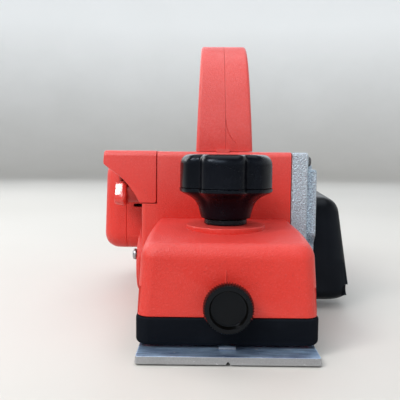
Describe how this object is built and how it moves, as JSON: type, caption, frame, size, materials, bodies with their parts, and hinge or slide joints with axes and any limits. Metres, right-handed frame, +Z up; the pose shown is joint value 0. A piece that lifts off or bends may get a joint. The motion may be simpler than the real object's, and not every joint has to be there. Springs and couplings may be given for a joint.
{
  "type": "handheld electric planer",
  "caption": "Corded handheld wood planer with a belt-driven cutter drum, movable front sole, depth knob, side chip outlet and D-shaped handle.",
  "frame": {"origin": "centre of the rear sole's flat underside", "axes": "+Z up from the soles, -Y towards the nose (the direction of travel), +X towards the belt cover"},
  "size_m": [0.1589, 0.364, 0.164],
  "materials": {
    "red_plastic": "satin, finely grained",
    "black_plastic": "satin gloss",
    "black_rubber": "matte",
    "cast_aluminium": "cast, slightly rough",
    "sole_aluminium": "brushed",
    "bright_steel": "bright",
    "lamination_steel": "dull",
    "copper": "bare copper",
    "carbon": "dull"
  },
  "bodies": {
    "housing": {"bearing_bracket": "cast_aluminium", "bearing_cap_screw_1": "bright_steel", "bearing_cap_screw_2": "bright_steel", "belt_cover": "black_plastic", "belt_cover_screw_1": "bright_steel", "belt_cover_screw_2": "bright_steel", "bracket_screw_1": "bright_steel", "bracket_screw_2": "bright_steel", "brush_cap_lower": "black_plastic", "brush_cap_upper": "black_plastic", "carbon_brush_lower": "carbon", "carbon_brush_upper": "carbon", "chip_cover": "red_plastic", "cord_guard": "black_rubber", "depth_scale_ring": "black_plastic", "drive_belt": "black_rubber", "drum_bearing_cap": "red_plastic", "drum_bearing_left": "bright_steel", "drum_bearing_right": "bright_steel", "field_coil_lower": "copper", "field_coil_upper": "copper", "front_skirt": "black_rubber", "handle_left": "red_plastic", "handle_right": "red_plastic", "handle_screw_1": "bright_steel", "handle_screw_2": "bright_steel", "main_housing": "red_plastic", "motor_bearing_left": "bright_steel", "motor_bearing_right": "bright_steel", "motor_end_cover": "red_plastic", "power_cord": "black_rubber", "rear_sole": "sole_aluminium", "rear_sole_screw_1": "bright_steel", "rear_sole_screw_2": "bright_steel", "rear_sole_screw_3": "bright_steel", "rear_sole_screw_4": "bright_steel", "sole_spring": "bright_steel", "stator": "lamination_steel", "switch_body": "black_plastic"},
    "front_sole": {"front_sole": "sole_aluminium", "depth_stud": "bright_steel"},
    "knob": {"knob_base": "black_plastic", "knob_cap": "black_plastic"},
    "thumb_screw": {"thumb_knob": "black_plastic", "thumb_screw": "bright_steel"},
    "drum": {"drum_body": "cast_aluminium", "blade_1": "bright_steel", "blade_2": "bright_steel", "blade_clamp_1": "lamination_steel", "blade_clamp_2": "lamination_steel", "drum_shaft": "bright_steel", "drum_pulley": "cast_aluminium"},
    "armature": {"armature_shaft": "bright_steel", "armature_core": "lamination_steel", "armature_winding": "copper", "commutator": "copper", "cooling_fan": "black_plastic", "motor_pulley": "cast_aluminium"},
    "trigger": {"trigger": "black_plastic"},
    "lock_button": {"lock_button": "black_plastic"}
  },
  "joints": [
    {"name": "depth_knob_turn", "type": "hinge", "parent": "housing", "child": "knob", "pos_m": [0, -0.1595, 0.075], "axis": [0, 0, 1], "range_deg": [0, 288]},
    {"name": "front_sole_slide", "type": "slide", "parent": "housing", "child": "front_sole", "axis": [0, 0, 1], "range_m": [0, 0.001], "deforming": ["sole_spring"]},
    {"name": "thumb_screw_turn", "type": "hinge", "parent": "housing", "child": "thumb_screw", "pos_m": [0, -0.2075, 0.025], "axis": [0, 1, 0], "range_deg": [-360, 360]},
    {"name": "drum_spin", "type": "hinge", "parent": "housing", "child": "drum", "pos_m": [0, -0.0935, 0.0235], "axis": [1, 0, 0], "continuous": true},
    {"name": "armature_spin", "type": "hinge", "parent": "housing", "child": "armature", "pos_m": [0, -0.0435, 0.057], "axis": [1, 0, 0], "continuous": true},
    {"name": "trigger_pull", "type": "hinge", "parent": "housing", "child": "trigger", "pos_m": [0.0015, -0.065, 0.13], "axis": [1, 0, 0], "range_deg": [0, 8]},
    {"name": "lock_button_press", "type": "slide", "parent": "housing", "child": "lock_button", "axis": [1, 0, 0], "range_m": [0, 0.0025]}
  ],
  "couplings": [
    {"joint": "depth_knob_turn", "follows": "front_sole_slide", "rad_per_m": 5026.5},
    {"joint": "armature_spin", "follows": "drum_spin", "ratio": 1.6235}
  ]
}
